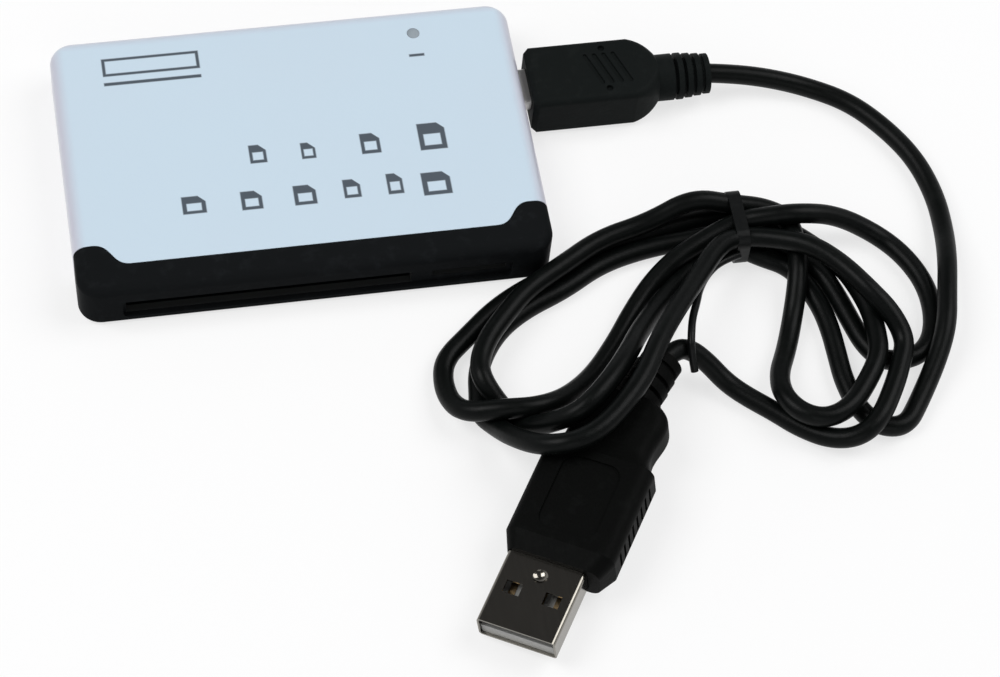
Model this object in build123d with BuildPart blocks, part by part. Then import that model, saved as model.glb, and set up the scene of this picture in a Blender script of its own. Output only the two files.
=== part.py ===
from build123d import *
import os
from math import pi, radians, tan

os.makedirs("parts", exist_ok=True)

# Case: two pale shells and a black front bezel, origin at the middle of the underside
case_width = 72.0
case_depth = 47.0
case_height = 9.0
corner_radius = 3.5
top_edge_radius = 1.8
bottom_edge_radius = 1.0
wall = 1.2
front_wall = 2.0
parting_height = 4.6
seam_gap = 0.1
lip_thickness = 0.6
lip_height = 1.0
lip_gap = 0.1

# Front bezel: a straight band between two wings that rise in an S-curve
bezel_depth = 4.45
wing_depth = 8.2
wing_start = 8.4
wing_top = 2.9
wing_drop = 0.9
wing_end_tangent = (0.9, -0.45)
tongue_width = 50.0
tongue_reach = 1.6
tongue_thickness = 0.6
trough_width = 59.0
trough_height = 3.9
trough_depth = 0.8
trough_bottom = 1.5

# Cards and their slots
card_clearance = 0.15
cf_card_width = 42.8
cf_card_thickness = 3.3
cf_side_share = 0.453
cf_card_height = 3.45
micro_card_width = 11.0
micro_card_thickness = 1.0
front_socket_gap = 0.65
flat_card_width = 24.0
flat_card_thickness = 2.1
flat_center_x = -12.0
stick_card_width = 12.5
stick_card_thickness = 1.2
stick_center_x = 11.0

# Circuit board and the sockets on it
board_thickness = 1.0
board_clearance = 0.4
board_step = 0.1
board_corner = 1.6
post_diameter = 3.2
post_pin_diameter = 1.5
post_pin_height = 0.9
post_fit = 0.1
post_inset_x = 1.8
post_back_inset = 3.0
cf_insert_depth = 24.0
cf_block_depth = 5.0
cf_block_height = 3.2
cf_arm_width = 1.5
cf_rail_size = 0.7
pin_pitch = 1.27
pins_per_row = 25
pin_size = 0.45
pin_length = 4.2
socket_sheet = 0.3
socket_side = 1.1
micro_socket_height = 1.9
combo_socket_height = 3.3
stick_socket_step = 2.5
stick_socket_height = 2.3
socket_base = 0.4
contact_width = 0.6
contact_thickness = 0.12
micro_contact_count = 8
micro_contact_pitch = 1.1
micro_contact_length = 4.0
combo_contact_count = 9
combo_contact_pitch = 2.5
combo_contact_length = 5.0

# Mini-USB socket in the right wall and the plug in it
usb_center_y = 8.8
usb_axis_height = 4.3
mini_shell_width = 6.8
mini_shell_height = 3.0
mini_taper = 0.8
mini_corner = 0.5
mini_sheet = 0.3
mini_fit = 0.1
usb_socket_length = 9.0
usb_socket_recess = 0.6
usb_socket_block = 2.5
usb_opening_gap = 0.25
tongue_plug_width = 3.6
tongue_plug_thickness = 0.8
tongue_plug_length = 5.1
usb_pin_count = 5
usb_pin_pitch = 0.8
usb_pin_width = 0.3
mini_insert_length = 6.9
mini_wall_gap = 1.4
mini_pocket_depth = 4.0
mould_fit = 0.05
mini_body_width = 11.5
mini_body_thickness = 8.0
mini_body_radius = 1.0
mini_body_length = 16.4
mini_front_chamfer = 0.8
mini_grip_count = 4
mini_grip_pitch = 1.5
mini_grip_width = 0.7
mini_grip_length = 6.4
mini_grip_depth = 0.25
mini_grip_slant = 20.0
mini_grip_from_front = 12.6
mini_dimple_diameter = 1.1
mini_dimple_depth = 0.5
mini_dimple_spacing = 7.8
mini_dimple_from_front = 12.2
mini_shoulder_length = 4.2
mini_shoulder_share = 0.3
mini_neck_diameter = 7.4
mini_neck_length = 2.6
relief_rib_count = 4
relief_rib_width = 0.85
relief_gap_width = 0.6
relief_core_diameter = 5.6
relief_rib_diameter = 7.4
relief_end_diameter = 6.4

# Cord
cord_diameter = 3.1
bend_share = 0.45
left_lobe_height = 6.3
right_lobe_height = 7.8
hank_side_gap = 1.0
hank_front_gap = 5.3

# USB-A plug, lying where the lead ends, leaning a little on one edge
usb_tip = (19.26, -85.73, 4.05)
usb_yaw = -32.4
usb_pitch = 3.3
usb_lean = -8.6
usb_shell_width = 12.0
usb_shell_height = 4.5
usb_shell_corner = 0.6
usb_shell_sheet = 0.3
usb_shell_length = 18.6
usb_visible_length = 11.9
usb_window_width = 2.5
usb_window_length = 2.0
usb_window_spacing = 6.0
usb_window_from_tip = 6.25
usb_dimple_radius = 1.1
usb_dimple_depth = 0.4
usb_dimple_from_tip = 9.3
usb_insert_thickness = 1.9
usb_insert_fit = 0.05
usb_insert_setback = 0.4
usb_contact_width = 1.0
usb_contact_length = 8.0
usb_contact_inner = 1.0
usb_contact_outer = 3.5
usb_contact_setback = 1.3
usb_body_width = 16.8
usb_body_offset = 0.8
usb_body_thickness = 8.0
usb_body_corner = 2.2
usb_front_width = 14.2
usb_front_thickness = 6.4
usb_front_taper = 2.8
usb_body_length = 18.2
usb_waist_width = 13.4
usb_waist_thickness = 7.0
usb_waist_from_tip = 34.0
usb_ring_width = 14.4
usb_ring_thickness = 7.4
usb_ring_from_tip = 37.6
usb_neck_width = 9.6
usb_neck_thickness = 6.6
usb_neck_from_tip = 41.4
usb_panel_width = 9.0
usb_panel_length = 12.6
usb_panel_depth = 0.3
usb_groove_count = 8
usb_groove_pitch = 1.6
usb_groove_width = 0.6
usb_groove_depth = 0.35
usb_relief_turn = 10.0
usb_relief_offset = 1.0
usb_relief_rib_diameter = 7.6
usb_relief_rib_count = 4
usb_relief_rib_width = 1.5
usb_relief_gap_width = 0.8

# Tie round the middle of the hank
tie_x = 65.0
tie_width = 2.0
tie_thickness = 0.5
tie_strands_wide = 3
tie_strands_high = 2
tie_center_y = -20.3
tie_fit = 0.05
tie_wire_diameter = 1.2

# Status light
led_x = 20.6
led_back_inset = 4.9
lens_diameter = 1.9
lens_flange_diameter = 3.0
lens_flange_thickness = 0.7
lens_fit = 0.05
led_length = 2.0
led_width = 1.25
led_height = 0.8
lens_led_gap = 0.3

# Small board parts
chip_size = 7.0
chip_height = 1.4
chip_edge_gap = 4.9
chip_socket_gap = 1.5
chip_leg_reach = 1.0
chip_leg_width = 0.25
chip_leg_pitch = 0.5
chip_legs_per_side = 12
chip_standoff = 0.1
crystal_width = 4.6
crystal_height = 3.5
chip_part_length = 1.6
chip_part_width = 0.8
chip_part_height = 0.8
resistor_height = 0.45
part_pitch = 2.6
part_gap = 0.4
part_edge_gap = 2.8

# Recess for a label under the case
label_width = 44.0
label_depth = 26.0
label_recess = 0.2

# Places worked out from the sizes above
side_x = case_width / 2
back_y = case_depth / 2
front_y = -case_depth / 2
inner_top = case_height - wall
mini_section_gap = mini_fit + socket_sheet
usb_socket_height = mini_shell_height + 2 * mini_section_gap
usb_socket_width = mini_shell_width + 2 * mini_section_gap
usb_mouth_x = side_x - usb_socket_recess
usb_socket_back_x = usb_mouth_x - usb_socket_length
board_top = usb_axis_height - usb_socket_height / 2
board_bottom = board_top - board_thickness
board_side_x = side_x - wall - board_clearance
board_back_y = back_y - wall - board_clearance
board_front_edge_y = front_y + front_wall + board_clearance
usb_contact_places = [-usb_contact_outer, -usb_contact_inner, usb_contact_inner, usb_contact_outer]
led_y = back_y - led_back_inset
cf_slot_width = cf_card_width + 2 * card_clearance
cf_slot_height = cf_card_thickness + 2 * card_clearance
cf_block_width = cf_slot_width + 2 * cf_arm_width
micro_slot_width = micro_card_width + 2 * card_clearance
micro_width = micro_slot_width + 2 * socket_side
lip_inset = wall + lip_gap + lip_thickness
front_room = case_width - 2 * lip_inset - cf_block_width - front_socket_gap - micro_width
cf_center_x = lip_inset + cf_side_share * front_room + cf_block_width / 2 - side_x
micro_center_x = cf_center_x + (cf_block_width + micro_width) / 2 + front_socket_gap
cf_block_y = front_y + cf_insert_depth
cf_block_back_y = cf_block_y + cf_block_depth
cf_right_x = cf_center_x + cf_slot_width / 2
board_front_y = cf_block_y + board_step
post_back_y = board_back_y - post_back_inset
board_arm_x = cf_right_x + cf_arm_width + board_clearance
socket_back_y = back_y - wall - lip_gap - lip_thickness - board_clearance / 2
micro_slot_height = micro_card_thickness + 2 * card_clearance
micro_slot_z = board_top + (socket_base + micro_socket_height - socket_sheet) / 2
flat_slot_width = flat_card_width + 2 * card_clearance
flat_slot_height = flat_card_thickness + 2 * card_clearance
flat_slot_z = board_top + (socket_base + combo_socket_height - socket_sheet) / 2
stick_slot_width = stick_card_width + 2 * card_clearance
stick_slot_height = stick_card_thickness + 2 * card_clearance
stick_slot_z = board_top + (socket_base + stick_socket_height - socket_sheet) / 2
cord_radius = cord_diameter / 2
chip_reach = chip_size / 2 + chip_leg_reach
chip_x = board_side_x - chip_edge_gap - chip_reach
chip_y = usb_center_y - usb_socket_width / 2 - chip_socket_gap - chip_reach
micro_socket_depth = chip_y - chip_reach - chip_socket_gap - board_front_edge_y
post_front_y = board_front_edge_y + micro_socket_depth + part_gap + post_diameter / 2
post_places = [
    (board_side_x - post_inset_x, post_front_y),
    (-board_side_x + post_inset_x, post_back_y),
    (board_side_x - post_inset_x, post_back_y),
]
combo_socket_depth = socket_back_y - cf_block_back_y - board_clearance
stick_socket_depth = combo_socket_depth - stick_socket_step
combo_left_x = flat_center_x - flat_slot_width / 2 - socket_side
crystal_x = (combo_left_x - board_side_x) / 2
crystal_length = post_back_y - post_diameter / 2 - cf_block_back_y - 2 * part_gap
crystal_y = cf_block_back_y + part_gap + crystal_length / 2
column_x = usb_socket_back_x - part_edge_gap
edge_x = board_side_x - part_edge_gap
chip_back_y = chip_y + chip_reach + part_gap + chip_part_width / 2
capacitor_places = [
    (edge_x, chip_y),
    (edge_x, chip_y + part_pitch / 2),
    (edge_x, chip_y + part_pitch),
    (chip_x - part_pitch / 2, chip_back_y),
    (chip_x + part_pitch / 2, chip_back_y),
    (column_x, usb_center_y + 2 * part_pitch),
]
resistor_places = [
    (column_x, usb_center_y - part_pitch / 2),
    (column_x, usb_center_y),
    (column_x, usb_center_y + part_pitch / 2),
    (led_x + lens_flange_diameter, led_y),
]
tie_bundle_width = tie_strands_wide * cord_diameter
tie_bundle_height = tie_strands_high * cord_diameter


def case_outline(inset):
    RectangleRounded(case_width - 2 * inset, case_depth - 2 * inset, corner_radius - inset)


def slab(size, center, mode=Mode.ADD):
    with Locations(center):
        Box(*size, mode=mode)


def mini_points(grow):
    half_width = mini_shell_width / 2 + grow
    half_height = mini_shell_height / 2 + grow
    return [
        (-half_width, half_height),
        (-half_width, 0),
        (mini_taper - half_width, -half_height),
        (half_width - mini_taper, -half_height),
        (half_width, 0),
        (half_width, half_height),
    ]


# Case blank and its hollow, which the three outer shells are cut from
with BuildPart() as case_blank:
    with BuildSketch():
        case_outline(0)
    extrude(amount=case_height)
    fillet(case_blank.faces().sort_by(Axis.Z)[-1].edges(), top_edge_radius)
    fillet(case_blank.faces().sort_by(Axis.Z)[0].edges(), bottom_edge_radius)

with BuildPart() as case_hollow:
    with BuildSketch(Plane.XY.offset(wall)):
        with Locations((0, (front_wall - wall) / 2)):
            RectangleRounded(
                case_width - 2 * wall, case_depth - wall - front_wall, corner_radius - wall
            )
    extrude(amount=case_height - 2 * wall)

# Plan of the bezel: a band along the front with a wing at each end
band_y = front_y + bezel_depth
wing_y = front_y + wing_depth
rise_x = side_x - wing_start
crest_x = side_x - wing_top
far_x = side_x + wall
with BuildSketch() as bezel_plan:
    with BuildLine():
        Line((0, band_y), (rise_x, band_y))
        Spline((rise_x, band_y), (crest_x, wing_y), tangents=((1, 0), (1, 0)))
        Spline((crest_x, wing_y), (far_x, wing_y - wing_drop), tangents=((1, 0), wing_end_tangent))
        Polyline((far_x, wing_y - wing_drop), (far_x, front_y - wall), (0, front_y - wall), (0, band_y))
    make_face()
    mirror(about=Plane.YZ)

with BuildSketch() as bezel_gap_plan:
    with Locations((0, seam_gap)):
        add(bezel_plan.sketch)

# Openings in the rear and right walls
with BuildPart() as wall_openings:
    slab((flat_slot_width, 3 * wall, flat_slot_height), (flat_center_x, back_y - wall, flat_slot_z))
    slab((stick_slot_width, 3 * wall, stick_slot_height), (stick_center_x, back_y - wall, stick_slot_z))
    with BuildSketch(Plane.YZ.offset(side_x - 3 * wall)):
        with Locations((usb_center_y, usb_axis_height)):
            RectangleRounded(
                usb_socket_width + 2 * usb_opening_gap,
                usb_socket_height + 2 * usb_opening_gap,
                mini_corner + usb_opening_gap,
            )
    extrude(amount=4 * wall)

# Upper shell: a lip that enters the lower shell, bosses over the board, a hole for the light
with BuildPart() as top_cover:
    add(case_blank.part)
    split(bisect_by=Plane.XY.offset(parting_height + seam_gap / 2), keep=Keep.TOP)
    add(case_hollow.part, mode=Mode.SUBTRACT)
    with BuildSketch(Plane.XY.offset(parting_height + seam_gap / 2)):
        case_outline(wall - lip_gap)
        offset(amount=-2 * lip_gap - lip_thickness, mode=Mode.SUBTRACT)
    extrude(amount=lip_height)
    with BuildSketch(Plane.XY.offset(parting_height + seam_gap / 2)):
        case_outline(wall + lip_gap)
        offset(amount=-lip_thickness, mode=Mode.SUBTRACT)
    extrude(amount=-lip_height)
    with BuildSketch(Plane.XY.offset(board_top + post_fit)):
        with Locations(*post_places):
            Circle(post_diameter / 2)
            Circle(post_pin_diameter / 2 + post_fit, mode=Mode.SUBTRACT)
    extrude(amount=inner_top - board_top - post_fit)
    extrude(bezel_gap_plan.sketch, amount=case_height, mode=Mode.SUBTRACT)
    add(wall_openings.part, mode=Mode.SUBTRACT)
    with Locations((led_x, led_y, case_height)):
        Hole(lens_diameter / 2 + lens_fit, depth=2 * wall)
top_cover.part.label = "top_cover"

# Lower shell: posts that carry the board, each with a pin through it
with BuildPart() as bottom_cover:
    add(case_blank.part)
    split(bisect_by=Plane.XY.offset(parting_height - seam_gap / 2), keep=Keep.BOTTOM)
    add(case_hollow.part, mode=Mode.SUBTRACT)
    extrude(bezel_gap_plan.sketch, amount=case_height, mode=Mode.SUBTRACT)
    with BuildSketch(Plane.XY.offset(wall)):
        with Locations(*post_places):
            Circle(post_diameter / 2)
    extrude(amount=board_bottom - wall)
    with BuildSketch(Plane.XY.offset(wall)):
        with Locations(*post_places):
            Circle(post_pin_diameter / 2)
    extrude(amount=board_top + post_pin_height - wall)
    add(wall_openings.part, mode=Mode.SUBTRACT)
    slab((label_width, label_depth, 2 * label_recess), (0, 0, 0), Mode.SUBTRACT)
bottom_cover.part.label = "bottom_cover"

# Front bezel: a long shallow trough, the two front card slots, a tongue under the upper shell
tongue_z = inner_top - seam_gap - tongue_thickness
with BuildPart() as front_bezel:
    add(case_blank.part)
    add(case_hollow.part, mode=Mode.SUBTRACT)
    extrude(bezel_plan.sketch, amount=case_height, mode=Mode.INTERSECT)
    with BuildSketch(Plane.XZ.offset(-front_y)):
        with Locations((0, trough_bottom + trough_height / 2)):
            RectangleRounded(trough_width, trough_height, trough_depth)
    extrude(amount=-trough_depth, mode=Mode.SUBTRACT)
    slab(
        (cf_slot_width, 3 * front_wall, cf_slot_height),
        (cf_center_x, front_y + front_wall, cf_card_height),
        Mode.SUBTRACT,
    )
    slab(
        (micro_slot_width, 3 * front_wall, micro_slot_height),
        (micro_center_x, front_y + front_wall, micro_slot_z),
        Mode.SUBTRACT,
    )
    slab(
        (tongue_width, tongue_reach, tongue_thickness + 2 * seam_gap),
        (0, band_y - tongue_reach / 2, tongue_z + tongue_thickness / 2 + seam_gap),
    )
    slab(
        (tongue_width, tongue_reach, tongue_thickness),
        (0, band_y + tongue_reach / 2, tongue_z + tongue_thickness / 2),
    )
front_bezel.part.label = "front_bezel"

# Light pipe of the status light, flush with the top, and the light under it
lens_bottom = board_top + led_height + lens_led_gap
with BuildPart() as led_lens:
    with BuildSketch(Plane.XY.offset(lens_bottom)):
        with Locations((led_x, led_y)):
            Circle(lens_diameter / 2)
    extrude(amount=case_height - lens_bottom)
    with BuildSketch(Plane.XY.offset(inner_top - lens_flange_thickness)):
        with Locations((led_x, led_y)):
            Circle(lens_flange_diameter / 2)
    extrude(amount=lens_flange_thickness)
led_lens.part.label = "led_lens"

with BuildPart() as status_led:
    slab((led_width, led_length, led_height), (led_x, led_y, board_top + led_height / 2))
status_led.part.label = "status_led"

# L-shaped circuit board with holes for the pins
with BuildPart() as circuit_board:
    with BuildSketch(Plane.XY.offset(board_bottom)) as board_plan:
        with BuildLine():
            Polyline(
                (-board_side_x, board_front_y),
                (board_arm_x, board_front_y),
                (board_arm_x, board_front_edge_y),
                (board_side_x, board_front_edge_y),
                (board_side_x, board_back_y),
                (-board_side_x, board_back_y),
                close=True,
            )
        make_face()
        fillet(board_plan.vertices(), board_corner)
        with Locations(*post_places):
            Circle(post_pin_diameter / 2 + post_fit, mode=Mode.SUBTRACT)
    extrude(amount=board_thickness)
circuit_board.part.label = "circuit_board"

# Wide front socket: a block with two rows of pins between two guide arms with rails
arm_length = cf_block_y - board_front_edge_y
arm_y = board_front_edge_y + arm_length / 2
cf_block_z = board_top + cf_block_height / 2
with BuildPart() as cf_socket:
    slab(
        (cf_block_width, cf_block_depth, cf_block_height),
        (cf_center_x, cf_block_y + cf_block_depth / 2, cf_block_z),
    )
    for side in (-1, 1):
        arm_x = cf_center_x + side * (cf_slot_width + cf_arm_width) / 2
        rail_x = cf_center_x + side * (cf_slot_width - cf_rail_size) / 2
        slab((cf_arm_width, arm_length, cf_block_height), (arm_x, arm_y, cf_block_z))
        slab((cf_rail_size, arm_length, cf_rail_size), (rail_x, arm_y, cf_card_height))
cf_socket.part.label = "cf_socket"

with BuildPart() as cf_pins:
    with Locations((cf_center_x, cf_block_y - pin_length / 2, cf_card_height)):
        with GridLocations(pin_pitch, 1, pins_per_row, 1):
            with Locations((0, 0, -pin_pitch / 2), (0, 0, pin_pitch / 2)):
                Box(pin_size, pin_length, pin_size)
cf_pins.part.label = "cf_pins"


def card_socket(width, depth, height, center_x, mouth_y, inward):
    # Plastic body: a base, two side rails and a stop at the inner end, all under a cover
    inside = height - socket_sheet
    middle_y = mouth_y + inward * depth / 2
    stop_y = mouth_y + inward * (depth - socket_side / 2)
    slab((width, depth, socket_base), (center_x, middle_y, board_top + socket_base / 2))
    slab((width, socket_side, inside), (center_x, stop_y, board_top + inside / 2))
    for side in (-1, 1):
        rail_x = center_x + side * (width - socket_side + socket_sheet) / 2
        slab((socket_side - socket_sheet, depth, inside), (rail_x, middle_y, board_top + inside / 2))


def socket_cover(width, depth, height, center_x, mouth_y, inward):
    # Sheet metal cover: a roof with a skirt down each side to the board
    middle_y = mouth_y + inward * depth / 2
    slab((width, depth, socket_sheet), (center_x, middle_y, board_top + height - socket_sheet / 2))
    for side in (-1, 1):
        skirt_x = center_x + side * (width - socket_sheet) / 2
        slab((socket_sheet, depth, height), (skirt_x, middle_y, board_top + height / 2))


def contact_row(count, pitch, center_x, far_y, length):
    # Flat springs on the floor of a socket, from its inner end towards the mouth
    with Locations((center_x, far_y, board_top + socket_base + contact_thickness / 2)):
        with GridLocations(pitch, 1, count, 1):
            Box(contact_width, length, contact_thickness)


combo_width = flat_slot_width + 2 * socket_side
stick_width = stick_slot_width + 2 * socket_side
body_play = 2 * socket_sheet

# Small front socket
with BuildPart() as micro_socket_body:
    card_socket(
        micro_width - body_play, micro_socket_depth, micro_socket_height,
        micro_center_x, board_front_edge_y, 1,
    )
micro_socket_body.part.label = "micro_socket_body"

with BuildPart() as micro_socket_shield:
    socket_cover(
        micro_width, micro_socket_depth, micro_socket_height, micro_center_x, board_front_edge_y, 1
    )
micro_socket_shield.part.label = "micro_socket_shield"

with BuildPart() as micro_contacts:
    contact_row(
        micro_contact_count, micro_contact_pitch, micro_center_x,
        board_front_edge_y + micro_socket_depth - socket_side - micro_contact_length / 2,
        micro_contact_length,
    )
micro_contacts.part.label = "micro_contacts"

# Wide rear socket
with BuildPart() as combo_socket_body:
    card_socket(
        combo_width - body_play, combo_socket_depth, combo_socket_height,
        flat_center_x, socket_back_y, -1,
    )
combo_socket_body.part.label = "combo_socket_body"

with BuildPart() as combo_socket_cover:
    socket_cover(
        combo_width, combo_socket_depth, combo_socket_height, flat_center_x, socket_back_y, -1
    )
combo_socket_cover.part.label = "combo_socket_cover"

with BuildPart() as combo_contacts:
    contact_row(
        combo_contact_count, combo_contact_pitch, flat_center_x,
        socket_back_y - combo_socket_depth + socket_side + combo_contact_length / 2,
        combo_contact_length,
    )
combo_contacts.part.label = "combo_contacts"

# Narrow rear socket
with BuildPart() as stick_socket_body:
    card_socket(
        stick_width - body_play, stick_socket_depth, stick_socket_height,
        stick_center_x, socket_back_y, -1,
    )
stick_socket_body.part.label = "stick_socket_body"

with BuildPart() as stick_socket_shield:
    socket_cover(
        stick_width, stick_socket_depth, stick_socket_height, stick_center_x, socket_back_y, -1
    )
stick_socket_shield.part.label = "stick_socket_shield"

# Mini-USB socket: a shell open to the right, a tongue with five contacts on its lower side
with BuildPart() as usb_socket_shell:
    with BuildSketch(Plane.YZ.offset(usb_socket_back_x)) as socket_outside:
        with Locations((usb_center_y, usb_axis_height)):
            Polygon(*mini_points(mini_section_gap), align=None)
        fillet(socket_outside.vertices(), mini_corner)
    extrude(amount=usb_socket_length)
    with BuildSketch(Plane.YZ.offset(usb_socket_back_x)) as socket_inside:
        with Locations((usb_center_y, usb_axis_height)):
            Polygon(*mini_points(mini_fit), align=None)
        fillet(socket_inside.vertices(), mini_corner)
    extrude(amount=usb_socket_length, mode=Mode.SUBTRACT)
usb_socket_shell.part.label = "usb_socket_shell"

tongue_start_x = usb_socket_back_x + usb_socket_block
with BuildPart() as usb_socket_tongue:
    with BuildSketch(Plane.YZ.offset(usb_socket_back_x)) as socket_plug:
        with Locations((usb_center_y, usb_axis_height)):
            Polygon(*mini_points(mini_fit), align=None)
        fillet(socket_plug.vertices(), mini_corner)
    extrude(amount=usb_socket_block)
    slab(
        (tongue_plug_length, tongue_plug_width, tongue_plug_thickness),
        (tongue_start_x + tongue_plug_length / 2, usb_center_y, usb_axis_height),
    )
usb_socket_tongue.part.label = "usb_socket_tongue"

tongue_contact_length = tongue_plug_length - tongue_plug_thickness
tongue_contact_z = usb_axis_height - tongue_plug_thickness / 2 - contact_thickness / 2
with BuildPart() as usb_socket_contacts:
    with Locations((tongue_start_x + tongue_contact_length / 2, usb_center_y, tongue_contact_z)):
        with GridLocations(1, usb_pin_pitch, 1, usb_pin_count):
            Box(tongue_contact_length, usb_pin_width, contact_thickness)
usb_socket_contacts.part.label = "usb_socket_contacts"

# Controller, crystal and the small chip parts
leg_span = chip_size / 2 + chip_leg_reach / 2
leg_z = board_top + chip_standoff
with BuildPart() as controller_chip:
    slab(
        (chip_size, chip_size, chip_height - chip_standoff),
        (chip_x, chip_y, board_top + (chip_height + chip_standoff) / 2),
    )
    with Locations((chip_x, chip_y, leg_z)):
        with PolarLocations(leg_span, 4):
            with GridLocations(1, chip_leg_pitch, 1, chip_legs_per_side):
                Box(chip_leg_reach, chip_leg_width, 2 * chip_standoff)
controller_chip.part.label = "controller_chip"

with BuildPart() as crystal:
    with BuildSketch(Plane.XY.offset(board_top)):
        with Locations((crystal_x, crystal_y)):
            SlotOverall(crystal_length, crystal_width, rotation=90)
    extrude(amount=crystal_height)
    fillet(crystal.faces().sort_by(Axis.Z)[-1].edges(), mini_corner)
crystal.part.label = "crystal"

with BuildPart() as capacitors:
    with Locations(*[(x, y, board_top + chip_part_height / 2) for x, y in capacitor_places]):
        Box(chip_part_length, chip_part_width, chip_part_height)
capacitors.part.label = "capacitors"

with BuildPart() as resistors:
    with Locations(*[(x, y, board_top + resistor_height / 2) for x, y in resistor_places]):
        Box(chip_part_length, chip_part_width, resistor_height)
resistors.part.label = "resistors"

# Mini plug in the right wall
mini_front_x = side_x + mini_wall_gap
mini_tip_x = mini_front_x - mini_insert_length
with BuildPart() as mini_plug_shell:
    with BuildSketch(Plane.YZ.offset(mini_tip_x)) as plug_outside:
        with Locations((usb_center_y, usb_axis_height)):
            Polygon(*mini_points(0), align=None)
        fillet(plug_outside.vertices(), mini_corner)
    extrude(amount=mini_insert_length + mini_pocket_depth)
    with BuildSketch(Plane.YZ.offset(mini_tip_x)) as plug_inside:
        with Locations((usb_center_y, usb_axis_height)):
            Polygon(*mini_points(-mini_sheet), align=None)
        fillet(plug_inside.vertices(), mini_sheet)
    extrude(amount=mini_insert_length + mini_pocket_depth, mode=Mode.SUBTRACT)
mini_plug_shell.part.label = "mini_plug_shell"

tongue_room = 2 * mini_fit
with BuildPart() as mini_plug_insert:
    with BuildSketch(Plane.YZ.offset(mini_tip_x + mini_sheet)) as insert_outside:
        with Locations((usb_center_y, usb_axis_height)):
            Polygon(*mini_points(-mini_sheet - mould_fit), align=None)
        fillet(insert_outside.vertices(), mini_sheet)
    extrude(amount=mini_insert_length + mini_pocket_depth - mini_sheet)
    slab(
        (
            2 * mini_insert_length,
            tongue_plug_width + 2 * tongue_room,
            tongue_plug_thickness + 2 * contact_thickness + 2 * tongue_room,
        ),
        (mini_tip_x - tongue_room, usb_center_y, usb_axis_height),
        Mode.SUBTRACT,
    )
mini_plug_insert.part.label = "mini_plug_insert"

# Moulded grip of the mini plug: a block, a rounded shoulder, a neck and a ribbed sleeve
shoulder_x = mini_front_x + mini_body_length
neck_x = shoulder_x + mini_shoulder_length
sleeve_x = neck_x + mini_neck_length
sleeve_pitch = relief_rib_width + relief_gap_width
mini_neck_corner = mini_neck_diameter / 2 - mould_fit
mini_top = usb_axis_height + mini_body_thickness / 2
mini_exit_x = sleeve_x + relief_rib_count * sleeve_pitch
with BuildPart() as mini_plug_overmould:
    with BuildSketch(Plane.YZ.offset(mini_front_x)):
        with Locations((usb_center_y, usb_axis_height)):
            RectangleRounded(mini_body_width, mini_body_thickness, mini_body_radius)
    extrude(amount=mini_body_length)
    chamfer(mini_plug_overmould.faces().sort_by(Axis.X)[0].edges(), mini_front_chamfer)
    with BuildSketch(Plane.YZ.offset(shoulder_x)):
        with Locations((usb_center_y, usb_axis_height)):
            RectangleRounded(mini_body_width, mini_body_thickness, mini_body_radius)
    with BuildSketch(Plane.YZ.offset(shoulder_x + mini_shoulder_length / 2)):
        with Locations((usb_center_y, usb_axis_height)):
            RectangleRounded(
                mini_body_width + mini_shoulder_share * (mini_neck_diameter - mini_body_width),
                mini_body_thickness + mini_shoulder_share * (mini_neck_diameter - mini_body_thickness),
                mini_body_radius + mini_shoulder_share * (mini_neck_corner - mini_body_radius),
            )
    with BuildSketch(Plane.YZ.offset(neck_x)):
        with Locations((usb_center_y, usb_axis_height)):
            RectangleRounded(mini_neck_diameter, mini_neck_diameter, mini_neck_corner)
    loft()
    with BuildSketch(Plane.YZ.offset(neck_x)):
        with Locations((usb_center_y, usb_axis_height)):
            Circle(mini_neck_diameter / 2)
    extrude(amount=mini_neck_length)
    with BuildSketch(Plane.YZ.offset(sleeve_x)):
        with Locations((usb_center_y, usb_axis_height)):
            Circle(relief_core_diameter / 2)
    extrude(amount=mini_exit_x - sleeve_x)
    for rib in range(relief_rib_count):
        rib_share = rib / (relief_rib_count - 1)
        rib_diameter = relief_rib_diameter + rib_share * (relief_end_diameter - relief_rib_diameter)
        with BuildSketch(Plane.YZ.offset(sleeve_x + relief_gap_width + rib * sleeve_pitch)):
            with Locations((usb_center_y, usb_axis_height)):
                Circle(rib_diameter / 2)
        extrude(amount=relief_rib_width)
    with BuildSketch(Plane.YZ.offset(mini_front_x)) as mini_pocket:
        with Locations((usb_center_y, usb_axis_height)):
            Polygon(*mini_points(mould_fit), align=None)
        fillet(mini_pocket.vertices(), mini_corner)
    extrude(amount=mini_pocket_depth + mould_fit, mode=Mode.SUBTRACT)
    with BuildSketch(Plane.XY.offset(mini_top)):
        with Locations((mini_front_x + mini_grip_from_front, usb_center_y)):
            with GridLocations(mini_grip_pitch, 1, mini_grip_count, 1):
                SlotOverall(mini_grip_length, mini_grip_width, rotation=90 + mini_grip_slant)
    extrude(amount=-mini_grip_depth, mode=Mode.SUBTRACT)
    with BuildSketch(Plane.XY.offset(mini_top)):
        with Locations((mini_front_x + mini_dimple_from_front, usb_center_y)):
            with GridLocations(1, mini_dimple_spacing, 1, 2):
                Circle(mini_dimple_diameter / 2)
    extrude(amount=-mini_dimple_depth, mode=Mode.SUBTRACT)
mini_plug_overmould.part.label = "mini_plug_overmould"

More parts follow.
